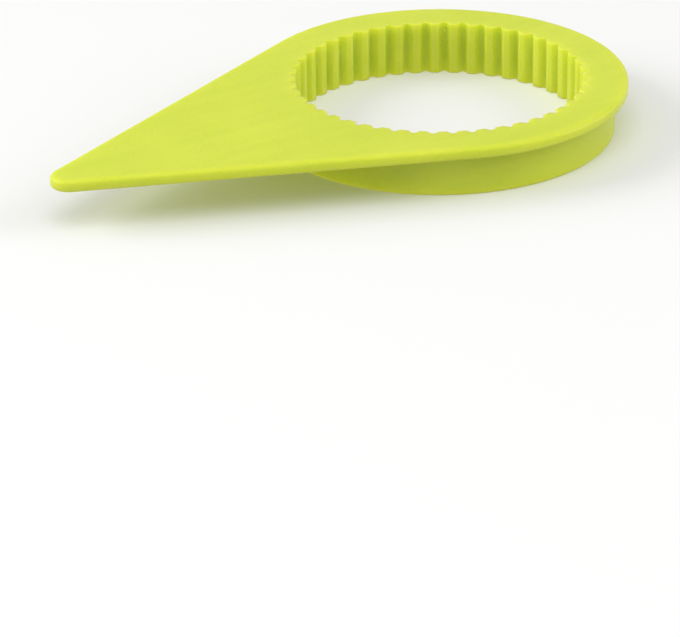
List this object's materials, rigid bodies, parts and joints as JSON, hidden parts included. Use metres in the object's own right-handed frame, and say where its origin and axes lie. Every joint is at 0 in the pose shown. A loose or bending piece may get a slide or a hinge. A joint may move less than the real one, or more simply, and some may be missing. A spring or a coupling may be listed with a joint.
{
  "type": "loose wheel nut indicator",
  "caption": "One-piece moulded ring with a serrated bore that grips a hex wheel nut, and a flange that runs out into a flat pointer, so that a nut working loose can be seen.",
  "frame": {"origin": "on the bore's axis, in the plane of the ring's lower face", "axes": "+Z along the bore's axis, from the lower face up to the flange; -X along the pointer, from the bore to its tip"},
  "size_m": [0.0813, 0.0482, 0.0069],
  "materials": {
    "fluorescent_plastic": "satin moulded thermoplastic polyurethane, fluorescent yellow-green"
  },
  "bodies": {
    "root": {"wheel_nut_indicator": "fluorescent_plastic"}
  },
  "joints": []
}
